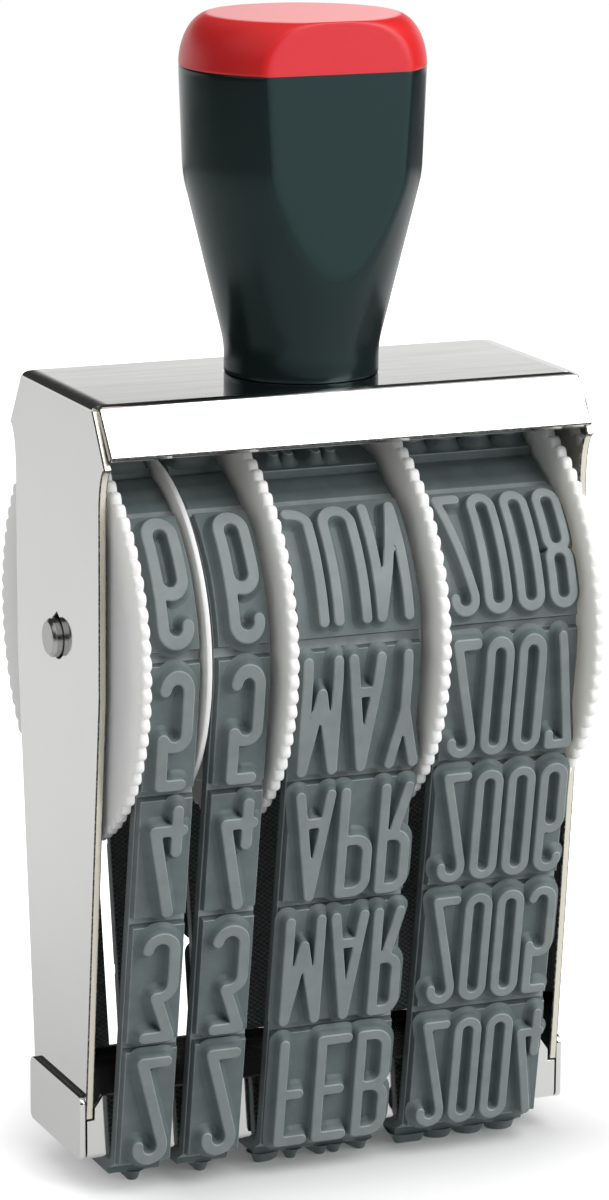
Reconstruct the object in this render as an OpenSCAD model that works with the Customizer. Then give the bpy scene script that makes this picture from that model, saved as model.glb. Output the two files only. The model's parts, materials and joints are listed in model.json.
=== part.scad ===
// Band date stamp: four type bands run over thumbwheels on one axle, round a bridge that presses the printing row.
// Frame: +X right, -Y front, +Z up, origin on the printing face under the middle of the frame, millimetres.

/* [Type] */
// Height of one printed character
type_h = 14.7; // [12:0.1:18]
// Clear space between two rows of characters, along the band
row_gap = 2; // [1.6:0.1:3]
// Height of a character above its tile
type_relief = 1.4; // [1:0.1:2]
// Space between two characters of a row
char_gap = 0.6; // [0.4:0.1:1]
// Width of a day character
day_char_w = 4.9; // [4:0.1:6]
// Width of a month character
month_char_w = 4.6; // [4:0.1:6]
// Width of a year character
year_char_w = 3.9; // [3:0.1:5]

/* [Bands] */
// Height of a tile above the rubber strip
tile_relief = 1; // [0.6:0.1:1.4]
// Thickness of the rubber strip
strip_t = 1.2; // [0.8:0.1:1.6]
// Thickness of the woven backing
backing_t = 0.4; // [0.3:0.05:0.6]
// Groove between two tiles
groove_w = 0.8; // [0.5:0.1:1.2]
// Bare ledge on each side of a tile
ledge = 0.15; // [0.1:0.05:0.5]
// Margin beside the characters of a day band
day_margin = 1.15; // [0.6:0.05:2]
// Margin beside the characters of the month band
month_margin = 0.75; // [0.4:0.05:2]
// Margin beside the characters of the year band
year_margin = 0.35; // [0.3:0.05:2]
// Free space on each side of the day tens band
tens_play = 0.2; // [0:0.05:1]
// Free space on each side of the day units band
units_play = 0.65; // [0:0.05:1]
// Free space on each side of the month band
month_play = 0.85; // [0:0.05:1]
// Free space on each side of the year band
year_play = 0.4; // [0:0.05:1]
// Free space between the left side plate and the first wheel
left_play = 0.4; // [0:0.05:1]
// Free space between the last wheel and the right side plate
right_play = 0.95; // [0:0.05:1]
// Tiles from the printing row up to the splice of the loop
splice_after = 6; // [1:1:10]
// Blank length at the splice of a day band
day_blank = 6.5; // [0:0.5:7]
// Blank length at the splice of the month band
month_blank = 4; // [0:0.5:7]
// Blank length at the splice of the year band
year_blank = 5; // [0:0.5:7]

/* [Thumbwheels] */
// Radius of the drum under a band
drum_r = 19; // [16:0.25:22]
// Wall of the drum
drum_wall = 1.6; // [1.2:0.1:2.5]
// Thickness of the toothed flange
wheel_t = 1.3; // [1:0.1:2]
// How far the teeth stand out past the type
wheel_proud = 2.15; // [1:0.05:4]
// Number of teeth round a flange
tooth_count = 80; // [60:4:120]
// Depth of a tooth
tooth_depth = 0.6; // [0.4:0.05:0.8]
// Radius of the hub
hub_r = 5; // [4:0.25:7]
// Ribs between the hub and the drum
rib_count = 8; // [8:1:12]
// Thickness of a rib
rib_t = 1.2; // [0.8:0.1:2]
// How far the ribs end below the rim of the drum
rib_in = 1; // [0.5:0.1:3]
// Thickness of the disc between the two day bands
disc_t = 0.7; // [0.5:0.1:1.2]
// How far the disc stands out past the tiles
disc_proud = 0.75; // [0.3:0.05:1.5]

/* [Axle] */
// Diameter of the axle
axle_d = 4.8; // [4:0.1:6]
// Height of the axle above the underside of the bridge
axle_h = 64.2; // [58:0.2:72]
// How far the axle sticks out past each side plate
axle_out = 1.25; // [0.8:0.05:2]
// Peak of the punched axle holes above the axle
hole_peak = 0.65; // [0.4:0.05:1.5]
// Radial play of the axle in these holes
hole_play = 0.15; // [0.05:0.05:0.25]

/* [Frame] */
// Thickness of the frame's sheet
sheet_t = 1; // [0.8:0.05:1.2]
// Depth of the top plate, front to back
top_d = 26.1; // [22:0.5:32]
// Clear height between the wheels and the top plate's upper face
top_clear = 5.5; // [5.2:0.1:8]
// Drop of the front and back aprons
apron_drop = 5.65; // [4.5:0.05:7]
// How far each apron leans out
apron_out = 4.35; // [3:0.05:5]
// How far the ends of the aprons stay inside the outer faces of the side plates
apron_in = 0.65; // [0.2:0.05:0.9]
// Outer radius of the bends between the top and the side plates
side_bend = 1.8; // [1.4:0.1:2.5]
// Outer radius of the bends between the top and the aprons
apron_bend = 1.5; // [1.25:0.05:2]
// Radius of the upper corners of the aprons
apron_corner = 0.6; // [0.3:0.1:1.2]
// Depth of a side plate at the axle
plate_d = 29.2; // [24:0.2:30]
// How far the ears of a side plate reach below the aprons
ear_drop = 1.5; // [0.5:0.1:2.5]
// Height of the hollow under an ear
hollow_h = 5.8; // [4:0.1:8]

/* [Bridge] */
// Thickness of the bridge's sheet
bridge_t = 0.7; // [0.6:0.05:1]
// Flat beyond the characters on each side of the printing row
bridge_margin = 1.85; // [1.5:0.05:2.5]
// Height of the bridge walls
bridge_h = 8.2; // [7:0.1:10]
// Depth of the notches that seat the side plates
notch_h = 3; // [2:0.1:4]
// Bend radius that the bands run over
bridge_r = 1; // [0.8:0.05:1.5]

/* [Handle] */
// Diameter of the handle's foot
foot_d = 19; // [16:0.5:22]
// Height of the straight foot
foot_h = 3.6; // [2.5:0.1:6]
// Diameter at the shoulder
shoulder_d = 29.1; // [26:0.1:32]
// Height of the shoulder above the top plate
shoulder_h = 24.4; // [20:0.2:30]
// Diameter at the seam under the cap
grip_d = 30.1; // [27:0.1:34]
// Height of the black body
body_h = 37.6; // [34:0.1:44]
// Height of the cap above the seam
cap_h = 6.85; // [5.5:0.05:8]
// Height of the low dome on the cap
cap_dome = 0.6; // [0.3:0.05:1]
// Width of the rounding between the cap's side and its dome
cap_round = 4; // [2.5:0.1:6]
// Distance between the two flats of the grip
flat_d = 23.2; // [21:0.2:26]
// Diameter of the cap's spigot
spigot_d = 13; // [10:0.5:14]
// Length of the cap's spigot
spigot_h = 5; // [3:0.25:8]
// Diameter of the screw that holds the handle
screw_d = 5; // [4:0.5:6]
// Length of the screw inside the handle
screw_l = 14; // [10:0.5:18]

/* [Hidden] */
$fn = 96;
// Gap between parts that turn side by side
side_gap = 0.15;
// Gap between a drum and the band round it
drum_gap = 0.15;
// Radial play of a wheel on the axle
bore_gap = 0.05;
// Slit between flaps of one folded sheet
slit = 0.2;
// Washer and head of the handle screw, and the play of the screw in its holes
washer_t = 0.8;
washer_d = 2.2 * screw_d;
head_h = 2.2;
head_d = 1.8 * screw_d;
screw_play = 0.4;
// Length by which a cutter runs past a face, or joined solids run into each other
lap = 1;

pitch = type_h + row_gap;
tile_face = backing_t + strip_t + tile_relief;
band_face = tile_face + type_relief;
path_r = drum_r + drum_gap;
wheel_r = path_r + band_face + wheel_proud;
disc_r = path_r + tile_face + disc_proud;
axle_z = band_face + axle_h;
top_z = axle_z + wheel_r + top_clear;

day_w = day_char_w + 2 * day_margin;
month_w = 3 * month_char_w + 2 * char_gap + 2 * month_margin;
year_w = 4 * year_char_w + 3 * char_gap + 2 * year_margin;

// Widths along the axle from the left: flange, band, disc, band, flange, band, flange, band, flange
row = [
    wheel_t, day_w + 2 * tens_play, disc_t, day_w + 2 * units_play, wheel_t,
    month_w + 2 * month_play, wheel_t, year_w + 2 * year_play, wheel_t
];
function sum_to(v, n) = n == 0 ? 0 : v[n - 1] + sum_to(v, n - 1);
inner_w = left_play + sum_to(row, len(row)) + (len(row) + 1) * side_gap + right_play;
frame_w = inner_w + 2 * sheet_t;
function row_x(i) = -inner_w / 2 + left_play + sum_to(row, i) + (i + 1) * side_gap;
function row_mid(i) = row_x(i) + row[i] / 2;

bridge_d = type_h + 2 * bridge_margin;
bridge_top = band_face + bridge_h;
notch_z = bridge_top - notch_h;

// Path of a band's inner face, in the plane of (u, z) with u to the front, measured from the middle of the bridge
corner_u = bridge_d / 2 - bridge_r;
corner_z = band_face + bridge_r;
span = norm([corner_u, axle_z - corner_z]);
lean = asin((path_r - bridge_r) / span) - atan(corner_u / (axle_z - corner_z));
run = sqrt(pow(span, 2) - pow(path_r - bridge_r, 2));
s_flat = corner_u;
s_bend = s_flat + bridge_r * (90 - lean) * PI / 180;
s_run = s_bend + run;
s_loop = 2 * (s_run + path_r * (90 + lean) * PI / 180);
tile_count = floor(s_loop / pitch);
spare = s_loop - tile_count * pitch;

nickel = [0.80, 0.80, 0.79];
steel = [0.62, 0.62, 0.62];
rubber = [0.38, 0.43, 0.43];
weave = [0.08, 0.09, 0.09];
white = [0.93, 0.93, 0.91];
black = [0.05, 0.05, 0.06];
red = [0.75, 0.08, 0.10];

// Points of an arc round c in the plane of an outline
function arc(c, r, a0, a1, steps = 8) =
    [for (i = [0:steps]) c + r * [cos(a0 + (a1 - a0) * i / steps), sin(a0 + (a1 - a0) * i / steps)]];
function mirrored(points) = [for (i = [len(points) - 1:-1:0]) [-points[i][0], points[i][1]]];

// Stands an outline of (u, z) in the part, and extrudes it across the width
module across(width) {
    rotate([90, 0, -90]) linear_extrude(width, center = true) children();
}

// Point of a band at s along its loop, out above its inner face
function path_point(s, out) =
    s < 0 ? path_point(s + s_loop, out) :
    s > s_loop ? path_point(s - s_loop, out) :
    s > s_loop / 2 ? let (p = path_point(s_loop - s, out)) [-p[0], p[1]] :
    s < s_flat ? [s, band_face - out] :
    s < s_bend ?
        let (a = -90 + (s - s_flat) / bridge_r * 180 / PI)
        [corner_u, corner_z] + (bridge_r + out) * [cos(a), sin(a)] :
    s < s_run ?
        [corner_u, corner_z] + (bridge_r + out) * [cos(lean), -sin(lean)] + (s - s_bend) * [sin(lean), cos(lean)] :
    let (a = -lean + (s - s_run) / path_r * 180 / PI)
    [0, axle_z] + (path_r + out) * [cos(a), sin(a)];

// Places along the loop where its outline turns: a few steps round each bridge bend, more round the drum
half_knots = concat(
    [for (i = [0:6]) s_flat + (s_bend - s_flat) * i / 6],
    [for (i = [0:22]) s_run + (s_loop / 2 - s_run) * i / 22]
);
knots = concat(half_knots, [for (i = [len(half_knots) - 2:-1:0]) s_loop - half_knots[i]]);

// A layer of a band from s0 to s1 along the loop, from out[0] to out[1] above its inner face
module band_layer(s0, s1, out, width) {
    turns = [for (lap = [-1, 0, 1], k = knots) if (k + lap * s_loop > s0 && k + lap * s_loop < s1) k + lap * s_loop];
    stops = concat([s0], turns, [s1]);
    across(width) polygon(concat(
        [for (s = stops) path_point(s, out[1])],
        [for (i = [len(stops) - 1:-1:0]) path_point(stops[i], out[0])]
    ));
}

// A closed layer all round the loop
module band_loop(out, width) {
    across(width) difference() {
        polygon([for (s = knots) path_point(s, out[1])]);
        polygon([for (s = knots) path_point(s, out[0])]);
    }
}

// Rubber loop with its tiles, and a plain raised block in the place of each character
module type_band(place, width, count, char_w, blank) {
    splice = min(blank, spare);
    char_step = char_w + char_gap;
    translate([row_mid(place), 0, 0]) {
        band_loop([backing_t, backing_t + strip_t], width);
        for (k = [0:tile_count - 1]) {
            s = k * pitch + (k < splice_after ? 0 : splice);
            band_layer(s - (pitch - groove_w) / 2, s + (pitch - groove_w) / 2,
                [backing_t + strip_t / 2, tile_face], width - 2 * ledge);
            for (c = [0:count - 1]) translate([(c - (count - 1) / 2) * char_step, 0, 0])
                band_layer(s - type_h / 2, s + type_h / 2, [tile_face - tile_relief / 2, band_face], char_w);
        }
    }
}

// Woven loop that carries the rubber
module band_backing(place, width) {
    translate([row_mid(place), 0, 0])
        band_loop([0, backing_t], width);
}

// Lays a solid built along +Z on the axle, starting at x and growing to the right or left
module on_axle(x, side) {
    translate([x, 0, axle_z]) rotate([0, side * 90, 0]) children();
}

// Thumbwheel moulding: toothed flange, drum under the band, ribs and hub
module band_wheel(flange, band) {
    side = sign(band - flange);
    drum_l = row[band] + side_gap;
    root_r = wheel_r - tooth_depth;
    turn = 360 / tooth_count;
    flank_r = root_r + 0.6 * tooth_depth;
    // One rounded tooth: share of a turn and radius of each point
    tooth = [[-0.5, root_r], [-0.3, flank_r], [-0.12, wheel_r], [0.12, wheel_r], [0.3, flank_r]];
    teeth = [for (k = [0:tooth_count - 1], p = tooth) p[1] * [cos((k + p[0]) * turn), sin((k + p[0]) * turn)]];
    rib_l = drum_r - drum_wall / 2 - hub_r + lap;
    on_axle(side > 0 ? row_x(flange) : row_x(flange) + wheel_t, side) difference() {
        union() {
            linear_extrude(wheel_t) polygon(teeth);
            difference() {
                cylinder(r = drum_r, h = wheel_t + drum_l);
                translate([0, 0, wheel_t]) cylinder(r = drum_r - drum_wall, h = drum_l + lap);
            }
            cylinder(r = hub_r, h = wheel_t + drum_l);
            for (k = [0:rib_count - 1]) rotate([0, 0, k * 360 / rib_count])
                translate([hub_r - lap, -rib_t / 2, 0]) cube([rib_l, rib_t, wheel_t + drum_l - rib_in]);
        }
        translate([0, 0, -lap]) cylinder(d = axle_d + 2 * bore_gap, h = wheel_t + drum_l + 2 * lap);
    }
}

module day_tens_wheel() color(white) band_wheel(0, 1);
module day_units_wheel() color(white) band_wheel(4, 3);
module month_wheel() color(white) band_wheel(6, 5);
module year_wheel() color(white) band_wheel(8, 7);

module separator_disc() color(white) on_axle(row_x(2), 1) difference() {
    cylinder(r = disc_r, h = disc_t);
    translate([0, 0, -lap]) cylinder(d = axle_d + 2 * bore_gap, h = disc_t + 2 * lap);
}

module day_tens_band() color(rubber) type_band(1, day_w, 1, day_char_w, day_blank);
module day_units_band() color(rubber) type_band(3, day_w, 1, day_char_w, day_blank);
module month_band() color(rubber) type_band(5, month_w, 3, month_char_w, month_blank);
module year_band() color(rubber) type_band(7, year_w, 4, year_char_w, year_blank);

module day_tens_backing() color(weave) band_backing(1, day_w);
module day_units_backing() color(weave) band_backing(3, day_w);
module month_backing() color(weave) band_backing(5, month_w);
module year_backing() color(weave) band_backing(7, year_w);

// Steel pin with a chamfer at each end
module axle() color(steel) {
    length = frame_w + 2 * axle_out;
    r = axle_d / 2;
    chamfer = 0.4;
    on_axle(-length / 2, 1) rotate_extrude() polygon([
        [0, 0], [r - chamfer, 0], [r, chamfer], [r, length - chamfer], [r - chamfer, length], [0, length]
    ]);
}

// Outline of one side plate: ears under the aprons, a hollow below them, and a taper down to the bridge
function plate_half() =
    let (
        apron_slope = apron_out / apron_drop,
        ear_in = (sheet_t + 2 * slit) / cos(atan(apron_slope)),
        tip_z = top_z - apron_drop - ear_drop,
        tip_u = top_d / 2 + (top_z - tip_z) * apron_slope - ear_in,
        waist_u = plate_d / 2 + slit,
        taper_z = axle_z - axle_d,
        seat_z = notch_z + slit / 2,
        foot_u = bridge_d / 2 - bridge_t - slit,
        shoulder_z = top_z - side_bend,
        shoulder_u = top_d / 2 + side_bend * apron_slope - ear_in
    )
    concat(
        [[shoulder_u, shoulder_z]],
        [for (a = [90:-15:0]) [tip_u - (tip_u - waist_u) * cos(a), tip_z - hollow_h * (1 - sin(a))]],
        [[plate_d / 2, taper_z], [bridge_d / 2, seat_z], [foot_u, seat_z], [foot_u, band_face + bridge_t]]
    );

// Top plate and aprons seen from the side
function roof_outline() =
    let (
        fall = atan(apron_drop / apron_out),
        bend_u = top_d / 2 - apron_bend * tan(fall / 2),
        c = [bend_u, top_z - apron_bend],
        tip = [top_d / 2 + apron_out, top_z - apron_drop],
        outer = concat(arc(c, apron_bend, 90, 90 - fall), [tip]),
        inner = concat([tip - sheet_t * [sin(fall), cos(fall)]], arc(c, apron_bend - sheet_t, 90 - fall, 90))
    )
    concat(mirrored(outer), outer, inner, mirrored(inner));

// Outline across the frame: a top with rounded corners, inset from the outer face
function bend_outline(half_w, bend, inset, z_low) =
    let (half = concat([[half_w - inset, z_low]], arc([half_w, top_z] - [bend, bend], bend - inset, 0, 90)))
    concat(half, mirrored(half));

// One folded nickel-plated sheet: top, two aprons and two side plates
module frame() color(nickel) {
    low = top_z - 4 * apron_drop;
    bend_d = 2 * plate_half()[0][0];
    hole_r = axle_d / 2 + hole_play;
    tip = axle_d / 2 + hole_peak;
    flank = acos(hole_r / tip);
    difference() {
        union() {
            // The top ends in the side bends, and the aprons beside them are cut square
            intersection() {
                across(frame_w - 2 * slit) polygon(roof_outline());
                rotate([90, 0, 0]) union() {
                    linear_extrude(bend_d, center = true) polygon(bend_outline(frame_w / 2, side_bend, 0, low));
                    for (side = [-1, 1]) translate([0, 0, side * ((bend_d + top_d) / 2 - slit)])
                        linear_extrude(top_d, center = true)
                            polygon(bend_outline(frame_w / 2 - apron_in, apron_corner, 0, low));
                }
            }
            rotate([90, 0, 0]) linear_extrude(bend_d, center = true) difference() {
                polygon(bend_outline(frame_w / 2, side_bend, 0, top_z - side_bend));
                polygon(bend_outline(frame_w / 2, side_bend, sheet_t, low));
            }
            for (side = [-1, 1]) translate([side * (frame_w - sheet_t) / 2, 0, 0])
                across(sheet_t) polygon(concat(plate_half(), mirrored(plate_half())));
        }
        // Axle holes, each punched with a peak whose flanks are tangent to it
        on_axle(-frame_w, 1) cylinder(r = hole_r, h = 2 * frame_w);
        across(2 * frame_w) translate([0, axle_z]) polygon([
            [0, 0], hole_r * [sin(flank), cos(flank)], [0, tip], hole_r * [-sin(flank), cos(flank)]
        ]);
        translate([0, 0, top_z - sheet_t - lap]) cylinder(d = screw_d + screw_play, h = sheet_t + 2 * lap);
    }
}

// Folded channel that carries the printing row, with end flaps outside the side plates
module bridge() color(nickel) {
    wall_x = frame_w / 2 - slit;
    notch_x = frame_w / 2 - sheet_t - slit;
    flap_r = 1;
    foot_r = bridge_r + slit / 2;
    tab_w = 3 * bridge_t;
    foot_u = bridge_d / 2 - foot_r;
    foot = arc([foot_u, band_face + foot_r], foot_r, -90, 0);
    wall = [[wall_x, band_face - lap], [wall_x, notch_z], [notch_x, notch_z], [notch_x, notch_z + notch_h / 2],
        [notch_x - notch_h / 3, bridge_top]];
    channel = concat(foot, [[bridge_d / 2, bridge_top]]);
    flap = concat(
        arc([bridge_d / 2 - flap_r, band_face + flap_r], flap_r, -90, 0),
        arc([bridge_d / 2 - flap_r, bridge_top - flap_r], flap_r, 0, 90)
    );
    intersection() {
        across(frame_w) difference() {
            polygon(concat(mirrored(channel), channel));
            translate([-bridge_d / 2 + bridge_t, band_face + bridge_t]) square([bridge_d - 2 * bridge_t, bridge_h]);
        }
        rotate([90, 0, 0]) linear_extrude(2 * bridge_d, center = true) polygon(concat(wall, mirrored(wall)));
    }
    for (side = [-1, 1]) {
        translate([side * (frame_w + bridge_t) / 2, 0, 0]) across(bridge_t) polygon(concat(flap, mirrored(flap)));
        // Tab that bends down into the flap
        translate([side * (frame_w / 2 + bridge_t / 2 - tab_w / 2), 0, band_face + bridge_t / 2])
            cube([tab_w, bridge_d - 4 * bridge_t, bridge_t], center = true);
    }
}

// Keeps what lies between the two flats of the grip
module between_flats() {
    intersection() {
        children();
        translate([-grip_d, -flat_d / 2, -body_h]) cube([2 * grip_d, flat_d, 3 * body_h]);
    }
}

// Black grip: straight foot, cone up to the shoulder, two flats, screw hole and a socket for the cap
module handle_body() color(black) translate([0, 0, top_z]) difference() {
    foot_edge = 0.3;
    between_flats() rotate_extrude() polygon([
        [0, 0], [foot_d / 2 - foot_edge, 0], [foot_d / 2, foot_edge], [foot_d / 2, foot_h],
        [shoulder_d / 2, shoulder_h], [grip_d / 2, body_h], [0, body_h]
    ]);
    translate([0, 0, -lap]) cylinder(d = screw_d, h = screw_l + 2 * lap);
    translate([0, 0, body_h - spigot_h - side_gap]) cylinder(d = spigot_d + 2 * bore_gap, h = spigot_h + lap);
}

// Profile of the cap: a rounded side up to a crease, and a low dome inside it
function cap_outline() =
    let (
        crease_a = 82,
        dome_r = grip_d / 2 - cap_round * (1 - cos(crease_a)),
        side_h = (cap_h - cap_dome) / sin(crease_a)
    )
    concat([[0, 0]],
        [for (i = [0:10]) let (a = crease_a * i / 10) [grip_d / 2 - cap_round * (1 - cos(a)), side_h * sin(a)]],
        [for (i = [1:4]) [dome_r * (1 - i / 4), cap_h - cap_dome * pow(1 - i / 4, 2)]]);

// Red cap with a spigot that plugs into the body
module handle_cap() color(red) translate([0, 0, top_z + body_h]) {
    between_flats() rotate_extrude() polygon(cap_outline());
    translate([0, 0, -spigot_h]) cylinder(d = spigot_d, h = spigot_h + lap);
}

// Pan-head screw from under the top plate into the handle
module handle_screw() color(steel) translate([0, 0, top_z - sheet_t - washer_t]) {
    translate([0, 0, -head_h]) cylinder(d = head_d, h = head_h);
    cylinder(d = screw_d - 2 * bore_gap, h = sheet_t + washer_t + screw_l);
}

module screw_washer() color(steel) translate([0, 0, top_z - sheet_t - washer_t]) difference() {
    cylinder(d = washer_d, h = washer_t);
    translate([0, 0, -lap]) cylinder(d = screw_d + screw_play, h = washer_t + 2 * lap);
}

frame();
bridge();
axle();
day_tens_wheel();
day_units_wheel();
month_wheel();
year_wheel();
separator_disc();
day_tens_band();
day_units_band();
month_band();
year_band();
day_tens_backing();
day_units_backing();
month_backing();
year_backing();
handle_body();
handle_cap();
handle_screw();
screw_washer();
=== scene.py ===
import json
import math
from functools import cache

import bmesh
import bpy
import numpy as np
from mathutils import Matrix, Vector, geometry


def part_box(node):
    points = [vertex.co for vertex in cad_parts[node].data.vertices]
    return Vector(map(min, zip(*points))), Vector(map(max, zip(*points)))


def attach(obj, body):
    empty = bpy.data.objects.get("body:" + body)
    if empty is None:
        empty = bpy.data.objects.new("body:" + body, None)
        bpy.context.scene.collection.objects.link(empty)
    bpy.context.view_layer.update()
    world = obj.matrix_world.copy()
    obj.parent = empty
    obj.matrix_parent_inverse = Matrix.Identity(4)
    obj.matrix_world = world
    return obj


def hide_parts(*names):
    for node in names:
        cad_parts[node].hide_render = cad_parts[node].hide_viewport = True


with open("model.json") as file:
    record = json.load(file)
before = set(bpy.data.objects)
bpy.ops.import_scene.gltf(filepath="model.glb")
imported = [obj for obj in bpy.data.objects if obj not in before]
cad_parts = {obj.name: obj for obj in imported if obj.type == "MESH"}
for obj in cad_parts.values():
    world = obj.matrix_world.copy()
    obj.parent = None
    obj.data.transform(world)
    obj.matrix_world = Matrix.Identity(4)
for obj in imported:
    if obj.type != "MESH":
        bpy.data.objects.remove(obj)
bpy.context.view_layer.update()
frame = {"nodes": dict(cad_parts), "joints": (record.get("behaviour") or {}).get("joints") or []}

# Looks of a band date stamp. Sizes are in millimetres until a piece becomes a mesh, angles in degrees.
MM = 0.001

# Type
TYPE_H = 14.7
TYPE_EDGE = 0.14
TYPE_DRAFT = 0.9
TYPE_SINK = 0.05
TILE_SQUEEZE = 0.985
CHAR_GAP = 0.62
DAY_CHAR_W = 4.9
DAY_STROKE = 1.45
MONTH_CHAR_W = 4.7
MONTH_STROKE = 1.33
YEAR_CHAR_W = 3.75
YEAR_STROKE = 1.17
MONTH_ROW_W = 15.9
YEAR_DIGITS = 4
# Width of a character, as a share of its row's standard width, where it differs
WIDTH_SHARE = {
    "A": 1.13, "M": 1.2, "N": 1.04, "U": 1.05, "Y": 1.02, "F": 0.94, "J": 0.79, "L": 0.9, "R": 0.93,
    "1": 0.7, "2": 0.93, "5": 0.9, "6": 0.94, "9": 0.94, "/": 0.9, "-": 0.8,
}
# Curved foot of a character: shares of its draft that are reached at heights above the tile
TYPE_FOOT = ((0.3, 0.45), (0.55, 0.16))
# A draft that would run into another stroke is shortened, a few times over
DRAFT_TRIES = 6
DRAFT_CLEAR = 0.9
DRAFT_CUT = 0.7
# Tracing of a character: sampling step, margin, spare samples and shortest side in steps
CONTOUR_STEP = 0.2
CONTOUR_MARGIN = 2.3
CONTOUR_SPARE = 6
SHORTEST_SIDE = 0.35
SLOPE_PROBE = 0.02
# Turn of one step round an oval
BOW_STEP = 15

# Bands
BACKING_T = 0.4
BACKING_EDGE = 0.08
STRIP_T = 1.2
TILE_RELIEF = 1.0
TYPE_RELIEF = 1.4
ROW_GAP = 2.0
GROOVE_W = 0.9
GROOVE_DIP = 0.15
LEDGE = 0.15
TILE_DRAFT = 0.22
SIDE_DRAFT = 0.12
TILE_EDGE = 0.1
SPLICE_AFTER = 6
SPLICE_RIDGE = 0.25
RIDGE_EVERY = 3
DAY_BLANK = 6.5
MONTH_BLANK = 4.0
YEAR_BLANK = 5.0
# Share of its height that a character keeps on the drum, and how far it slides along the band
DAY_DRUM = (0.944, -0.41)
MONTH_DRUM = (0.86, -0.1)
YEAR_DRUM = (0.885, -0.15)
BRIDGE_R = 1.0
ALONG_STEP = 0.8

# Thumbwheels
WHEEL_T = 1.3
TOOTH_COUNT = 80
TOOTH_DEPTH = 0.7
TOOTH_STEPS = 10
TOOTH_CREST = 0.9
TOOTH_ROOT = 0.5
# Rounding of the teeth: distances from the flange's side, and the inset there
TOOTH_SIDE = ((0.0, 0.4), (0.08, 0.15), (0.3, 0.0))
DRUM_R = 19.0
DRUM_WALL = 1.6
DRUM_EDGE = 0.2
DRUM_SINK = 0.2
DRUM_SIDES = 192
HUB_R = 5.0
HUB_SIDES = 96
BORE_R = 2.45
RIB_COUNT = 8
RIB_T = 1.2
RIB_IN = 1.0
RIB_SINK = 0.3

# Frame
SHEET_T = 1.0
TOP_D = 26.1
SIDE_BEND = 1.05
BEND_START = 20
CROWN_R = 16.0
CROWN_TURN = 5.0
APRON_DROP = 5.65
APRON_OUT = 4.35
APRON_BEND = 1.5
APRON_IN = 0.65
APRON_TUCK = 0.6
APRON_SINK = 0.03
CORNER_W = 1.6
CORNER_H = 0.55
ARC_STEPS = 12

# Rounding of crisp edges
FRAME_EDGE = 0.16
BRIDGE_EDGE = 0.1
AXLE_EDGE = 0.08
SCREW_EDGE = 0.25
WASHER_EDGE = 0.1
DISC_EDGE = 0.2
# Turn between two faces that is still flat, and turn from which their edge is crisp
FLAT_TURN = 0.5
CRISP_TURN = 25

# Handle
FOOT_D = 19.0
FOOT_H = 3.6
FOOT_EDGE = 0.3
FOOT_ROUND = 0.3
SHOULDER_D = 29.1
SHOULDER_H = 24.4
CAP_DOME = 0.6
CAP_ROUND = 4.0
CAP_CREASE = 82
FLAT_SOFT = 0.6
BEND_SOFT = 0.35
# Rounded seam of grip and cap: drawn in at the seam, and a little at a small distance from it
SEAM_IN = 0.15
SEAM_LIP = 0.03
SEAM_LIP_H = 0.12
GRIP_END = 0.3
HANDLE_SIDES = 288
GRIP_RINGS = 90
CAP_SIDE_RINGS = 40
CAP_TOP_RINGS = 24

# Rows that stand beside the middle of their tile: how far across and along the band
ROW_SHIFT = {
    "JUN": (-0.75, 0),
    "JUL": (-1.2, 0),
    "2005": (0, 0.4),
    "2006": (0, 0.4),
    "2007": (0, 0.4),
    "2008": (-0.1, 0),
}

MONTHS = ["JAN", "FEB", "MAR", "APR", "MAY", "JUN", "JUL", "AUG", "SEP", "OCT", "NOV", "DEC"]
FIRST_YEAR = 2003
DAYS = ["1", "2", "3", "4", "5", "6", "7", "8", "9", "0", "/", "-"]

# Numbers of the materials on a band, and of the frame's second and third material
RUBBER, TYPE_TOP, ROUNDED = 0, 1, 2
RIM, CUT = 1, 2

# Distance in millimetres at which places are alike, distance at which points are joined, least divisor
TOUCH = 1e-3
WELD = 1e-6
TINY = 1e-9


def box_mm(node):
    """Lowest and highest corner of a node."""
    low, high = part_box(node)
    return Vector(low) / MM, Vector(high) / MM


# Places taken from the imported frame
AXLE_Z = frame["joints"][0]["pos_m"][2] / MM
BAND_FACE = box_mm("bridge")[0].z
BRIDGE_D = 2 * box_mm("bridge")[1].y
PATH_R = box_mm("month_backing")[1].y - BACKING_T
PITCH = TYPE_H + ROW_GAP
STRIP_TOP = BACKING_T + STRIP_T
TILE_FACE = STRIP_TOP + TILE_RELIEF
TYPE_FACE = TILE_FACE + TYPE_RELIEF
HANDLE_Z = box_mm("handle_body")[0].z
SEAM_Z = box_mm("handle_body")[1].z
BODY_H = SEAM_Z - HANDLE_Z
GRIP_D = 2 * box_mm("handle_body")[1].x
FLAT_Y = box_mm("handle_body")[1].y
CAP_H = box_mm("handle_cap")[1].z - SEAM_Z


# Shaders

# Values between which most of a noise lies
NOISE_REACH = (0.3, 0.7)
# Lengths of one over and under of the weave, across and along the band
WEFT_STEP = 0.9
WARP_STEP = 0.62
# Depth below a flat over which its finish fades out
FLAT_FADE = (0.12, 0.04)
# Painted sheen lies where a surface faces upwards: a lighter colour, made rough and dull
TOP_SHEEN_SLOPE = (0.93, 0.992)
TOP_SHEEN_ROUGH = 0.6
SPECULAR = 0.5
TOP_SHEEN_SPECULAR = 0.12


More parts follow.
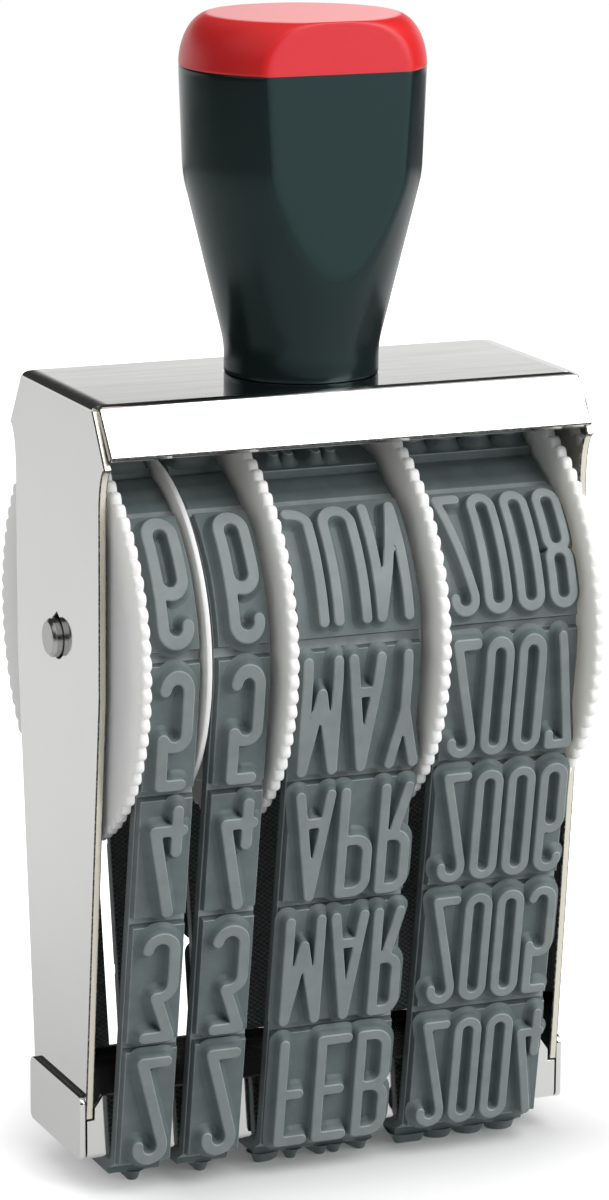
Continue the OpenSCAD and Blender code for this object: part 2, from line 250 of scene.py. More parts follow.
class Tree:
    """Node tree with short calls for the nodes used here."""

    def __init__(self, tree):
        self.tree = tree

    def node(self, kind, inputs=(), **settings):
        made = self.tree.nodes.new("ShaderNode" + kind)
        for name, value in settings.items():
            setattr(made, name, value)
        for socket, value in dict(inputs).items():
            self.feed(made.inputs[socket], value)
        return made

    def feed(self, socket, value):
        if isinstance(value, bpy.types.NodeSocket):
            self.tree.links.new(value, socket)
        else:
            socket.default_value = value

    def noise(self, vector, scale, detail=3.0, roughness=0.55):
        inputs = {"Vector": vector, "Scale": scale, "Detail": detail, "Roughness": roughness}
        return self.node("TexNoise", inputs).outputs["Fac"]

    def stretch(self, vector, factors):
        return self.node("VectorMath", {0: vector, 1: factors}, operation="MULTIPLY").outputs[0]

    def math(self, operation, a, b=0.0):
        return self.node("Math", {0: a, 1: b}, operation=operation).outputs[0]

    def span(self, value, low, high, out_low=0.0, out_high=1.0):
        inputs = {"Value": value, "From Min": low, "From Max": high, "To Min": out_low, "To Max": out_high}
        return self.node("MapRange", inputs, clamp=True).outputs["Result"]

    def vary(self, noise, low=0.0, high=1.0):
        """Number that follows a noise from low to high."""
        return self.span(noise, *NOISE_REACH, low, high)

    def blend(self, factor, a, b):
        """Number between a and b."""
        made = self.node("Mix", data_type="FLOAT")
        for slot, value in ((0, factor), (2, a), (3, b)):
            self.feed(made.inputs[slot], value)
        return made.outputs[0]

    def mix(self, factor, a, b):
        """Colour between a and b."""
        made = self.node("Mix", data_type="RGBA")
        for slot, value in ((0, factor), (6, a), (7, b)):
            self.feed(made.inputs[slot], value)
        return made.outputs[2]

    def to_camera(self):
        """One where the camera looks straight at the surface."""
        return self.node("LightPath").outputs["Is Camera Ray"]

    def to_mirrors(self):
        """One where the surface is seen in a mirror or through glass."""
        path = self.node("LightPath").outputs
        return self.math("MAXIMUM", path["Is Glossy Ray"], path["Is Transmission Ray"])


class Shader(Tree):
    """Principled material."""

    def __init__(self, name, **settings):
        self.material = bpy.data.materials.new(name)
        self.material.use_nodes = True
        super().__init__(self.material.node_tree)
        self.surface = self.tree.nodes["Principled BSDF"]
        for socket, value in settings.items():
            self.to(socket.replace("_", " ").title().replace("Ior", "IOR"), value)

    def to(self, socket, value):
        self.feed(self.surface.inputs[socket], value)

    def position(self):
        """Place on the object in millimetres."""
        place = self.node("TexCoord").outputs["Object"]
        return self.node("VectorMath", {0: place, "Scale": 1 / MM}, operation="SCALE").outputs[0]

    def attribute(self, name):
        return self.node("Attribute", attribute_name=name).outputs["Vector"]

    def bump(self, height, strength, distance):
        inputs = {"Height": height, "Strength": strength, "Distance": distance * MM}
        self.to("Normal", self.node("Bump", inputs).outputs["Normal"])


def grey(value, green=0.0, blue=0.0):
    """Grey with a little more green and blue."""
    return (value, value + green, value + blue, 1.0)


def nickel_plate():
    """Bright plated sheet with faint rolling marks."""
    s = Shader("nickel_plate", metallic=1.0)
    place = s.position()
    marks = s.noise(s.stretch(place, (0.05, 1.2, 1.2)), 1.4, 4.0)
    cloud = s.noise(place, 0.09, 2.0)
    s.to("Base Color", s.mix(cloud, (0.615, 0.615, 0.605, 1), (0.645, 0.645, 0.63, 1)))
    s.to("Roughness", s.vary(marks, 0.05, 0.1))
    s.bump(marks, 0.03, 0.01)
    return s.material


def cut_edge():
    """Narrow cut side of the sheet, plated but dull and a little warm."""
    s = Shader("cut_edge", metallic=1.0)
    grain = s.noise(s.stretch(s.position(), (4.0, 1.0, 0.3)), 2.0, 4.0)
    s.to("Base Color", s.mix(grain, (0.60, 0.57, 0.48, 1), (0.74, 0.71, 0.62, 1)))
    s.to("Roughness", s.vary(grain, 0.25, 0.4))
    s.bump(grain, 0.2, 0.03)
    return s.material


def painted_dark_rim():
    """Rounded rim of the cut sheet with bright grains, painted dark: a painted reflection of the dark
    surroundings that its rounding would mirror.
    """
    s = Shader("painted_dark_rim", ior=1.3)
    grain = s.noise(s.position(), 2.6, 4.0, 0.7)
    bright = s.span(grain, 0.45, 0.66)
    s.to("Base Color", s.mix(bright, (0.018, 0.018, 0.015, 1), (0.32, 0.31, 0.27, 1)))
    s.to("Roughness", s.vary(grain, 0.4, 0.6))
    s.bump(grain, 0.3, 0.05)
    return s.material


def turned_steel():
    """Axle steel with fine turning rings."""
    s = Shader("turned_steel", metallic=1.0)
    place = s.position()
    rings = s.noise(s.stretch(place, (9.0, 0.2, 0.2)), 1.0, 4.0)
    s.to("Base Color", s.mix(rings, (0.28, 0.285, 0.28, 1), (0.46, 0.46, 0.45, 1)))
    s.to("Roughness", s.vary(rings, 0.16, 0.34))
    s.bump(rings, 0.3, 0.02)
    return s.material


def white_plastic():
    """Slightly warm moulded plastic with faint flow clouds."""
    s = Shader("white_plastic", ior=1.48, subsurface_weight=0.6, subsurface_radius=(1.0, 0.93, 0.8))
    s.to("Subsurface Scale", 4.0 * MM)
    place = s.position()
    cloud = s.noise(place, 0.15, 3.0)
    grain = s.noise(place, 6.0, 3.0)
    s.to("Base Color", s.mix(cloud, (0.84, 0.84, 0.81, 1), (0.90, 0.90, 0.875, 1)))
    s.to("Roughness", s.vary(grain, 0.34, 0.5))
    s.bump(grain, 0.1, 0.02)
    return s.material


def band_rubber(name, dark, light, dust_and_sheen):
    """Grey moulded rubber with specks and a dry bloom."""
    s = Shader(name, ior=1.45)
    place = s.attribute("place")
    cloud = s.noise(place, 0.35, 4.0)
    specks = s.span(s.noise(place, 5.5, 2.0), 0.66, 0.74)
    grain = s.noise(place, 3.2, 5.0, 0.7)
    tone = s.mix(s.vary(cloud), dark, light)
    s.to("Base Color", s.mix(s.math("MULTIPLY", specks, 0.35), tone, dust_and_sheen))
    s.to("Roughness", s.vary(grain, 0.46, 0.66))
    s.bump(grain, 0.25, 0.04)
    return s.material


def black_weave():
    """Woven carrier: over and under threads across and along the band."""
    s = Shader("black_weave", roughness=0.85)
    across, along, _ = s.node("SeparateXYZ", {0: s.attribute("place")}).outputs
    weft = s.math("SINE", s.math("MULTIPLY", across, 2 * math.pi / WEFT_STEP))
    warp = s.math("SINE", s.math("MULTIPLY", along, 2 * math.pi / WARP_STEP))
    height = s.math("MULTIPLY", weft, warp)
    fuzz = s.noise(s.attribute("place"), 4.0, 4.0)
    tone = s.math("ADD", s.span(height, -1.0, 1.0, 0.0, 0.6), s.math("MULTIPLY", fuzz, 0.4))
    s.to("Base Color", s.mix(tone, (0.03, 0.036, 0.038, 1), (0.17, 0.19, 0.19, 1)))
    s.bump(height, 0.7, 0.12)
    return s.material


def grip_plastic(name, ior, tint, gloss, satin, face, flat, top):
    """Moulded plastic: smooth on the round sides, finely eroded on the two flats, with a painted sheen on
    top.
    """
    s = Shader(name, ior=ior, specular_tint=tint)
    place = s.position()
    depth = s.math("ABSOLUTE", s.node("SeparateXYZ", {0: place}).outputs[1])
    on_flat = s.span(depth, *[FLAT_Y - fade for fade in FLAT_FADE])
    grain = s.noise(place, 5.0, 4.0, 0.65)
    sheen = s.noise(place, 0.2, 2.0)
    upward = s.node("SeparateXYZ", {0: s.node("NewGeometry").outputs["Normal"]}).outputs[2]
    # Upward faces take the lighter top colour: a painted sheen standing in for the reflection of the bright
    # surroundings.
    dust_and_sheen = s.math("MULTIPLY", s.span(upward, *TOP_SHEEN_SLOPE), s.vary(grain, 0.9, 1.0))
    s.to("Base Color", s.mix(dust_and_sheen, s.mix(on_flat, face, flat), top))
    smooth = s.vary(sheen, gloss, gloss + 0.05)
    rough = s.vary(grain, satin, satin + 0.1)
    s.to("Roughness", s.blend(dust_and_sheen, s.blend(on_flat, smooth, rough), TOP_SHEEN_ROUGH))
    s.to("Specular IOR Level", s.span(dust_and_sheen, 0.0, 1.0, SPECULAR, TOP_SHEEN_SPECULAR))
    s.bump(s.math("MULTIPLY", grain, s.span(on_flat, 0.0, 1.0, 0.06, 1.0)), 0.35, 0.03)
    return s.material


# Meshes

class Shell:
    """Closed parts of one piece, gathered before they become a mesh."""

    def __init__(self):
        self.points = []
        self.places = []
        self.faces = []
        self.paint = []

    def add(self, points, faces, paint=0, places=None):
        first = len(self.points)
        self.points += points
        self.places += places or points
        for number, face in enumerate(faces):
            self.faces.append([first + i for i in face])
            self.paint.append(paint[number] if isinstance(paint, list) else paint)


def grid_faces(rows, columns):
    """Quads of a grid that closes on itself both ways."""
    faces = []
    for r in range(rows):
        for c in range(columns):
            up, over = (r + 1) % rows, (c + 1) % columns
            faces.append([r * columns + c, r * columns + over, up * columns + over, up * columns + c])
    return faces


def ring_numbers(loops):
    """Numbers of the points of each loop, counted through all loops."""
    rings, first = [], 0
    for loop in loops:
        rings.append(list(range(first, first + len(loop))))
        first += len(loop)
    return rings


def filled(points, rings):
    """Triangles inside rings of flat points and outside the rings within them, as numbers of the points."""
    inside_with_holes = 2
    made, _, faces, origins, *_ = geometry.delaunay_2d_cdt(
        [Vector(p) for p in points], [], rings, inside_with_holes, WELD)
    flat = np.array(points)
    source = []
    for old, point in zip(origins, made):
        source.append(old[0] if old else int(np.argmin(((flat - np.array(point)) ** 2).sum(1))))
    triangles = [[source[i] for i in face] for face in faces]
    return [t for t in triangles if len(set(t)) == 3]


def finish_mesh(mesh, materials, sharp_angle):
    """Turns the faces outwards, smooths them and keeps the crisp edges."""
    work = bmesh.new()
    work.from_mesh(mesh)
    bmesh.ops.recalc_face_normals(work, faces=work.faces)
    for face in work.faces:
        face.smooth = True
    for edge in work.edges:
        edge.smooth = edge.calc_face_angle(math.pi) < math.radians(sharp_angle)
    work.to_mesh(mesh)
    work.free()
    for material in materials:
        mesh.materials.append(material)


def add_piece(node, mesh, body, slot, materials, sharp_angle=35):
    """Puts a finished mesh in the scene in the place of one node."""
    finish_mesh(mesh, materials, sharp_angle)
    piece = bpy.data.objects.new(node + "_look", mesh)
    bpy.context.scene.collection.objects.link(piece)
    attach(piece, body)
    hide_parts(node)
    normals = piece.modifiers.new("normals", "WEIGHTED_NORMAL")
    normals.keep_sharp = True
    normals.weight = 100


def shell_mesh(name, shell):
    """Mesh of a shell, with the place of each point as an attribute."""
    mesh = bpy.data.meshes.new(name)
    mesh.from_pydata([Vector(p) * MM for p in shell.points], [], shell.faces)
    mesh.polygons.foreach_set("material_index", shell.paint)
    place = mesh.attributes.new("place", "FLOAT_VECTOR", "POINT")
    place.data.foreach_set("vector", np.array(shell.places, dtype=np.float32).ravel())
    return mesh


def node_mesh(node):
    """Working copy of a node's mesh."""
    work = bmesh.new()
    work.from_mesh(frame["nodes"][node].data)
    bmesh.ops.remove_doubles(work, verts=work.verts, dist=WELD)
    return work


def softened_mesh(node, edge, work=None, on_seam=None, edge_paint=0):
    """Mesh for a node with its flat faces joined and its crisp edges rounded, apart from those on a seam."""
    if work is None:
        work = node_mesh(node)
        for face in work.faces:
            face.material_index = 0
    bmesh.ops.recalc_face_normals(work, faces=work.faces)
    flat, crisp = math.radians(FLAT_TURN), math.radians(CRISP_TURN)
    bmesh.ops.dissolve_limit(work, angle_limit=flat, verts=work.verts, edges=work.edges)
    edges = [e for e in work.edges if e.is_manifold and e.calc_face_angle(0) > crisp]
    if on_seam:
        edges = [e for e in edges if not all(on_seam(v.co / MM) for v in e.verts)]
    bmesh.ops.bevel(
        work, geom=edges, offset=edge * MM, offset_type="OFFSET", segments=2, profile=0.5,
        affect="EDGES", clamp_overlap=on_seam is None, material=edge_paint)
    mesh = bpy.data.meshes.new(node)
    work.to_mesh(mesh)
    work.free()
    return mesh


# Path of a band

CORNER_U = BRIDGE_D / 2 - BRIDGE_R
CORNER_Z = BAND_FACE + BRIDGE_R
SPAN = math.hypot(CORNER_U, AXLE_Z - CORNER_Z)
LEAN = math.asin((PATH_R - BRIDGE_R) / SPAN) - math.atan(CORNER_U / (AXLE_Z - CORNER_Z))
S_BEND = CORNER_U + BRIDGE_R * (math.pi / 2 - LEAN)
S_RUN = S_BEND + math.sqrt(SPAN ** 2 - (PATH_R - BRIDGE_R) ** 2)
S_LOOP = 2 * (S_RUN + PATH_R * (math.pi / 2 + LEAN))
TILE_COUNT = int(S_LOOP / PITCH)


def tile_middle(k, blank):
    """Place of a tile along the loop, which has a blank length after the first tiles, where it is joined."""
    return k * PITCH + (0 if k < SPLICE_AFTER else blank)


def on_drum(s):
    """Whether a place along the loop lies on the thumbwheel's drum."""
    return S_RUN < s < S_LOOP - S_RUN


def on_band(x, s, out):
    """Point at s along a loop, from under the bridge towards the front, and out above its inner face."""
    s %= S_LOOP
    back = s > S_LOOP / 2
    if back:
        s = S_LOOP - s
    tile_stays_flat = s > PITCH / 2 and out > BACKING_T and not back
    if s < CORNER_U:
        u, z = s, BAND_FACE - out
    elif s < S_BEND and not tile_stays_flat:
        turn = (s - CORNER_U) / BRIDGE_R
        u = CORNER_U + (BRIDGE_R + out) * math.sin(turn)
        z = CORNER_Z - (BRIDGE_R + out) * math.cos(turn)
    elif s < S_RUN:
        u = CORNER_U + (BRIDGE_R + out) * math.cos(LEAN) + (s - S_BEND) * math.sin(LEAN)
        z = CORNER_Z - (BRIDGE_R + out) * math.sin(LEAN) + (s - S_BEND) * math.cos(LEAN)
    else:
        turn = (s - S_RUN) / PATH_R - LEAN
        u = (PATH_R + out) * math.cos(turn)
        z = AXLE_Z + (PATH_R + out) * math.sin(turn)
    return (x, u if back else -u, z)


# Characters: centre lines in a unit box, round ended, in reading position

def bow(x, y, rx, ry, start, end, steps=None):
    """Points round an ellipse from one angle to another."""
    steps = steps or max(3, round(abs(end - start) / BOW_STEP))
    angles = [math.radians(start + (end - start) * i / steps) for i in range(steps + 1)]
    return [(x + rx * math.cos(a), y + ry * math.sin(a)) for a in angles]


def centre_lines(char, e):
    """Strokes of one character, where e is the height of a half-round end."""
    top, low = (0.5, 1 - e, 0.5, e), (0.5, e, 0.5, e)

    def bowl(high, base):
        return ([(0, high)] + bow(0.5, high - e, 0.5, e, 90, 0)
                + bow(0.5, base + e, 0.5, e, 0, -90) + [(0, base)])

    def ring(high, base):
        loop = bow(0.5, high - e, 0.5, e, 0, 180) + bow(0.5, base + e, 0.5, e, 180, 360)
        return loop + loop[:1]

    hook = bow(*low, 0, -170)
    six = bow(*top, -5, 180) + bow(*low, 180, 360) + bow(0.5, 0.61 - e, 0.5, e, 0, 180)
    open_c = bow(*top, -5, 180) + bow(*low, 180, 365)
    shapes = {
        "0": [ring(1, 0)],
        "1": [[(0.15, 0.82), (0.6, 1), (0.6, 0)]],
        "2": [bow(*top, 190, 0) + [(1, 0.96 - e), (0, 0), (1, 0)]],
        "3": [[(0.05, 1), (0.95, 1), (0.4, 0.6)] + bow(0.5, 0.6 - e, 0.5, e, 90, 0) + hook],
        "4": [[(0.62, 1), (0, 0.19), (1, 0.19)], [(0.8, 0), (0.8, 0.4)]],
        "5": [[(0.85, 1), (0, 1), (0, 0.55)] + bow(0.5, 0.63 - e, 0.5, e, 160, 0) + hook],
        "6": [six],
        "7": [[(0, 0.9), (0, 1), (1, 1), (0.35, 0)]],
        "8": [ring(1, 0.53), ring(0.53, 0)],
        "9": [[(1 - x, 1 - y) for x, y in six]],
        "/": [[(0, 0), (1, 1)]],
        "-": [[(0, 0.5), (1, 0.5)]],
        "A": [[(0, 0), (0.5, 1), (1, 0)], [(0.14, 0.27), (0.86, 0.27)]],
        "B": [[(0, 0)] + bowl(1, 0.53), bowl(0.53, 0)],
        "C": [open_c],
        "D": [[(0, 0)] + bowl(1, 0)],
        "E": [[(1, 1), (0, 1), (0, 0), (1, 0)], [(0, 0.52), (0.8, 0.52)]],
        "F": [[(1, 1), (0, 1), (0, 0)], [(0, 0.52), (0.74, 0.52)]],
        "G": [open_c + [(1, 0.46), (0.55, 0.46)]],
        "J": [[(1, 1)] + bow(0.05, 1.3 * e, 0.95, 1.3 * e, 0, -92)],
        "L": [[(0, 1), (0, 0), (1, 0)]],
        "M": [[(0, 0), (0, 1), (0.5, 0.25), (1, 1), (1, 0)]],
        "N": [[(0, 0), (0, 1), (1, 0), (1, 1)]],
        "O": [ring(1, 0)],
        "P": [[(0, 0)] + bowl(1, 0.48)],
        "R": [[(0, 0)] + bowl(1, 0.47), [(0.45, 0.47), (1, 0)]],
        "S": [bow(*top, -5, 180) + [(0, 0.68), (1, 0.36)] + hook],
        "T": [[(0, 1), (1, 1)], [(0.5, 1), (0.5, 0)]],
        "U": [[(0, 1)] + bow(*low, 180, 360) + [(1, 1)]],
        "V": [[(0, 1), (0.5, 0), (1, 1)]],
        "Y": [[(0, 1), (0.5, 0.48), (1, 1)], [(0.5, 0.48), (0.5, 0)]],
    }
    return shapes[char]


def stroke_segments(char, width, stroke):
    """Centre-line segments of a character in millimetres, from its lower left corner."""
    w, h = width - stroke, TYPE_H - stroke
    scale = np.array([w, h])
    segments = []
    for line in centre_lines(char, 0.5 * w / h):
        points = np.array(line) * scale + stroke / 2
        segments += list(zip(points[:-1], points[1:]))
    return np.array(segments)


def distance_to(segments, points):
    """Distance of each point from the nearest segment."""
    start, along = segments[:, 0], segments[:, 1] - segments[:, 0]
    length = np.maximum((along ** 2).sum(1), TINY)
    gap = points[:, None, :] - start
    t = np.clip((gap * along).sum(2) / length, 0, 1)
    return np.linalg.norm(gap - t[..., None] * along, axis=2).min(1)


def outline_loops(field, step, origin):
    """Closed lines where a sampled field is zero, with the inside on their left."""
    after, crossing = {}, {}
    for i, j in np.ndindex(field.shape[0] - 1, field.shape[1] - 1):
        corners = [(i, j), (i + 1, j), (i + 1, j + 1), (i, j + 1)]
        inside = [field[c] < 0 for c in corners]
        if all(inside) or not any(inside):
            continue
        passed = []
        for n in range(4):
            a, b = corners[n], corners[(n + 1) % 4]
            if inside[n] != inside[(n + 1) % 4]:
                key = (min(a, b), max(a, b))
                t = field[key[0]] / (field[key[0]] - field[key[1]])
                crossing[key] = origin + step * (np.array(key[0]) * (1 - t) + np.array(key[1]) * t)
                passed.append((key, inside[n]))
        for n, (key, leaves) in enumerate(passed):
            if leaves:
                after[key] = passed[(n + 1) % len(passed)][0]
    loops = []
    while after:
        key, loop = next(iter(after)), []
        while key in after:
            point = crossing[key]
            if not loop or np.linalg.norm(point - loop[-1]) > SHORTEST_SIDE * step:
                loop.append(point)
            key = after.pop(key)
        loops.append(np.array(loop))
    return loops


@cache
def glyph(char, width, stroke):
    """Outline points of a character, their normals and drafts, its rings, and its face's triangles."""
    segments = stroke_segments(char, width, stroke)
    half = stroke / 2
    step = CONTOUR_STEP
    origin = np.array([-CONTOUR_MARGIN * step, -CONTOUR_MARGIN * step])
    counts = [int(size / step) + CONTOUR_SPARE for size in (width, TYPE_H)]
    cells = np.stack(np.meshgrid(*[np.arange(n) for n in counts], indexing="ij"), -1)
    field = distance_to(segments, (cells * step + origin).reshape(-1, 2)).reshape(counts) - half
    loops = outline_loops(field, step, origin)
    points = np.concatenate(loops)
    slope = []
    for probe in ([SLOPE_PROBE, 0], [0, SLOPE_PROBE]):
        slope.append(distance_to(segments, points + probe) - distance_to(segments, points - probe))
    normals = np.stack(slope, -1)
    normals /= np.maximum(np.linalg.norm(normals, axis=1, keepdims=True), TINY)
    draft = np.full(len(points), TYPE_DRAFT)
    for _ in range(DRAFT_TRIES):
        reached = distance_to(segments, points + normals * draft[:, None])
        draft = np.where(reached < half + DRAFT_CLEAR * draft, DRAFT_CUT * draft, draft)
    rings = ring_numbers(loops)
    return points, normals, draft, rings, filled(points - normals * TYPE_EDGE, rings)


def add_glyph(shell, char, width, stroke, x, s, drum):
    """Raised character whose lower left corner is at x, standing on the tile that is centred at s."""
    points, normals, draft, rings, triangles = glyph(char, width, stroke)
    spread = normals * draft[:, None]
    levels = [(points - normals * TYPE_EDGE, TYPE_FACE), (points, TYPE_FACE - TYPE_EDGE)]
    levels += [(points + share * spread, TILE_FACE + rise) for share, rise in TYPE_FOOT]
    levels.append((points + spread, TILE_FACE - TYPE_SINK))
    squeeze, slide = drum if on_drum(s) else (1.0, 0.0)
    places = []
    for level, out in levels:
        places += [(x + px, s + slide + squeeze * (TYPE_H / 2 - py), out) for px, py in level]
    count = len(points)
    last = count * (len(levels) - 1)
    faces = triangles + [[last + i for i in t] for t in triangles]
    paint = [TYPE_TOP] * len(triangles) + [RUBBER] * len(triangles)
    for ring in rings:
        for i, j in zip(ring, ring[1:] + ring[:1]):
            for level in range(len(levels) - 1):
                low, high = level * count, (level + 1) * count
                faces.append([low + i, low + j, high + j, high + i])
                paint.append(RUBBER if level else ROUNDED)
    shell.add([on_band(*p) for p in places], faces, paint, places)


# Bands

def bare_stops(start, end, ridge=0.0):
    """Places along a bare stretch of a band, with low ridges across it where it is spliced."""
    steps = max(1, round((end - start) / ALONG_STEP))
    heights = [STRIP_TOP + (ridge if i % RIDGE_EVERY == 1 else 0) for i in range(steps)]
    return [(start + (end - start) * i / steps, out) for i, out in enumerate(heights)]


def loop_stops(blank):
    """Places along a band with the height of its middle: grooves, drafted tile ends, tile faces, blanks."""
    tile_l = PITCH - GROOVE_W
    rise = [(0, STRIP_TOP), (TILE_DRAFT, TILE_FACE - TILE_EDGE), (TILE_DRAFT + TILE_EDGE, TILE_FACE)]
    inner = round(tile_l / ALONG_STEP)
    stops = []
    for k in range(TILE_COUNT):
        middle = tile_middle(k, blank)
        length = tile_l * (TILE_SQUEEZE if on_drum(middle) else 1.0)
        start, end = middle - length / 2, middle + length / 2
        if k == SPLICE_AFTER:
            stops += bare_stops(start - blank, start, SPLICE_RIDGE)
        stops += [(start + d, out) for d, out in rise]
        stops += [(start + length * i / inner, TILE_FACE) for i in range(1, inner)]
        stops += [(end - d, out) for d, out in reversed(rise)]
        stops.append((end + GROOVE_W / 2, STRIP_TOP - GROOVE_DIP))
    return stops + bare_stops(end + GROOVE_W, S_LOOP - tile_l / 2)


def band_columns(low, high):
    """Places across a band with the most height allowed there, from one inner edge to the other."""
    side = [
        (0, BACKING_T), (0, STRIP_TOP - TILE_EDGE), (TILE_EDGE, STRIP_TOP), (LEDGE, STRIP_TOP),
        (LEDGE + SIDE_DRAFT, TILE_FACE - TILE_EDGE), (LEDGE + SIDE_DRAFT + TILE_EDGE, TILE_FACE),
    ]
    return [(low + d, out) for d, out in side] + [(high - d, out) for d, out in reversed(side)]


def is_edge(outs):
    """Whether a band's face with these corner heights is one of the narrow rounded edges."""
    drops = [top - min(outs) for top in (STRIP_TOP, TILE_FACE) if max(outs) <= top]
    return any(0.5 * TILE_EDGE < drop < 1.5 * TILE_EDGE for drop in drops)


def letter_widths(text, char_w):
    """Width of each character in a row, where a row that is too wide is drawn in a little."""
    widths = [WIDTH_SHARE.get(char, 1.0) * char_w for char in text]
    room = MONTH_ROW_W - CHAR_GAP * (len(text) - 1)
    return [round(w * min(1, room / sum(widths)), 2) for w in widths]


def add_band(name, rows, char_w, stroke, blank, drum, materials):
    """Endless rubber band with its tiles and one row of characters on each."""
    low, high = (corner.x for corner in box_mm(name))
    stops, columns = loop_stops(blank), band_columns(low, high)
    places = [(x, s, min(out, limit)) for s, out in stops for x, limit in columns]
    faces = grid_faces(len(stops), len(columns))
    paint = [ROUNDED if is_edge([places[i][2] for i in face]) else RUBBER for face in faces]
    shell = Shell()
    shell.add([on_band(*p) for p in places], faces, paint, places)
    for k, text in enumerate(rows):
        is_year = len(text) == YEAR_DIGITS
        widths = [char_w] * YEAR_DIGITS if is_year else letter_widths(text, char_w)
        beside, onward = ROW_SHIFT.get(text, (0, 0))
        x = (low + high - sum(widths) - CHAR_GAP * (len(text) - 1)) / 2 + beside
        for char, width in zip(text, widths):
            add_glyph(shell, char, width, stroke, x, tile_middle(k, blank) + onward, drum)
            x += width + CHAR_GAP
    add_piece(name, shell_mesh(name, shell), "stamp_frame", "grey_rubber", materials, sharp_angle=38)


def add_backing(name, material):
    """Woven loop inside a rubber band."""
    low, high = (corner.x for corner in box_mm(name))
    steps = round(S_LOOP / ALONG_STEP)
    edge = BACKING_EDGE
    inner = [(low, edge), (low + edge, 0), (high - edge, 0), (high, edge)]
    columns = inner + [(high, BACKING_T), (low, BACKING_T)]
    places = [(x, S_LOOP * i / steps, out) for i in range(steps) for x, out in columns]
    shell = Shell()
    shell.add([on_band(*p) for p in places], grid_faces(steps, len(columns)), 0, places)
    add_piece(name, shell_mesh(name, shell), "stamp_frame", "black_weave", [material], sharp_angle=50)


# Thumbwheels

def turned_ring(shell, profile, sides, place):
    """Closed ring swept from a closed profile of (along, radius), where place puts it in the object."""
    points = []
    for i in range(sides):
        for along, radius in profile:
            points.append(place(along, radius(i) if callable(radius) else radius, i / sides))
    shell.add(points, grid_faces(sides, len(profile)))


def add_wheel(part, material):
    """Thumbwheel: a flange with rounded teeth, the drum under the band, a hub and ribs."""
    low, high = box_mm(part + "_wheel")
    outer, inward = (low.x, 1) if part == "day_tens" else (high.x, -1)
    length, rim_r = high.x - low.x, high.z - AXLE_Z

    def place(along, radius, turn):
        a = 2 * math.pi * turn
        return (outer + inward * along, radius * math.cos(a), AXLE_Z + radius * math.sin(a))

    def rim(inset):
        def radius(step):
            crest = abs(math.cos(math.pi * step / TOOTH_STEPS))
            return rim_r - inset - TOOTH_DEPTH * (1 - crest ** TOOTH_CREST)
        return radius

    plate_r = rim_r - TOOTH_DEPTH - TOOTH_ROOT
    teeth = [(d, rim(inset)) for d, inset in TOOTH_SIDE]
    teeth += [(WHEEL_T - d, rim(inset)) for d, inset in reversed(TOOTH_SIDE)]
    flange = [(WHEEL_T, BORE_R), (0, BORE_R), (0, plate_r)] + teeth + [(WHEEL_T, plate_r)]
    start, end, edge, drum_in = WHEEL_T - DRUM_SINK, length, DRUM_EDGE, DRUM_R - DRUM_WALL
    drum = [(start, drum_in), (start, DRUM_R), (end - edge, DRUM_R), (end, DRUM_R - edge),
            (end, drum_in + edge), (end - edge, drum_in)]
    hub = [(start, BORE_R), (start, HUB_R), (end - edge, HUB_R), (end, HUB_R - edge), (end, BORE_R)]
    shell = Shell()
    turned_ring(shell, flange, TOOTH_COUNT * TOOTH_STEPS, place)
    turned_ring(shell, drum, DRUM_SIDES, place)
    turned_ring(shell, hub, HUB_SIDES, place)
    rib_box = [
        (along, r, side)
        for along in (start, end - RIB_IN)
        for r in (HUB_R - RIB_SINK, drum_in + RIB_SINK)
        for side in (-RIB_T / 2, RIB_T / 2)
    ]
    box_faces = [[0, 1, 3, 2], [4, 5, 7, 6], [0, 1, 5, 4], [2, 3, 7, 6], [0, 2, 6, 4], [1, 3, 7, 5]]
    for k in range(RIB_COUNT):
        points = [place(along, math.hypot(r, side), k / RIB_COUNT + math.atan2(side, r) / (2 * math.pi))
                  for along, r, side in rib_box]
        shell.add(points, box_faces)
    mesh = shell_mesh(part + "_wheel", shell)
    add_piece(part + "_wheel", mesh, part, "white_plastic", [material], sharp_angle=50)


# Frame: folded sheet

def face_loops(work, x):
    """Closed outlines of the flat faces at one x, as lists of (y, z)."""
    flat = {f for f in work.faces if all(abs(v.co.x / MM - x) < TOUCH for v in f.verts)}
    border = [e for e in work.edges if len(flat & set(e.link_faces)) == 1 and len(set(e.link_faces)) == 2]
    ways = {}
    for e in border:
        for a, b in (e.verts, reversed(e.verts)):
            ways.setdefault(a, []).append(b)
    loops = []
    while ways:
        at = next(iter(ways))
        loop, last = [], None
        while at in ways:
            following = [v for v in ways.pop(at) if v is not last and v in ways]
            loop.append((at.co.y / MM, at.co.z / MM))
            last = at
            if not following:
                break
            at = following[0]
        loops.append(loop)
    return loops


def extrude_x(work, loops, low, high):
    """Closed plate between two x from an outline of (y, z) and its holes."""
    flat = [point for loop in loops for point in loop]
    rings = ring_numbers(loops)
    ends = [[work.verts.new(Vector((x, y, z)) * MM) for y, z in flat] for x in (low, high)]
    for triangle in filled(flat, rings):
        for end in ends:
            work.faces.new([end[i] for i in triangle])
    for ring in rings:
        for i, j in zip(ring, ring[1:] + ring[:1]):
            work.faces.new([ends[0][i], ends[0][j], ends[1][j], ends[1][i]]).material_index = CUT


def skin(work, sections):
    """Closed form through a row of closed sections with as many points each."""
    rows = [[work.verts.new(Vector(p) * MM) for p in section] for section in sections]
    for a, b in zip(rows, rows[1:]):
        for i in range(len(a)):
            j = (i + 1) % len(a)
            work.faces.new([a[i], a[j], b[j], b[i]])
    work.faces.new(rows[0])
    work.faces.new(rows[-1])


def arc(centre, radius, start, end):
    """Points round a circle from one angle to another."""
    return bow(*centre, radius, radius, start, end, ARC_STEPS)


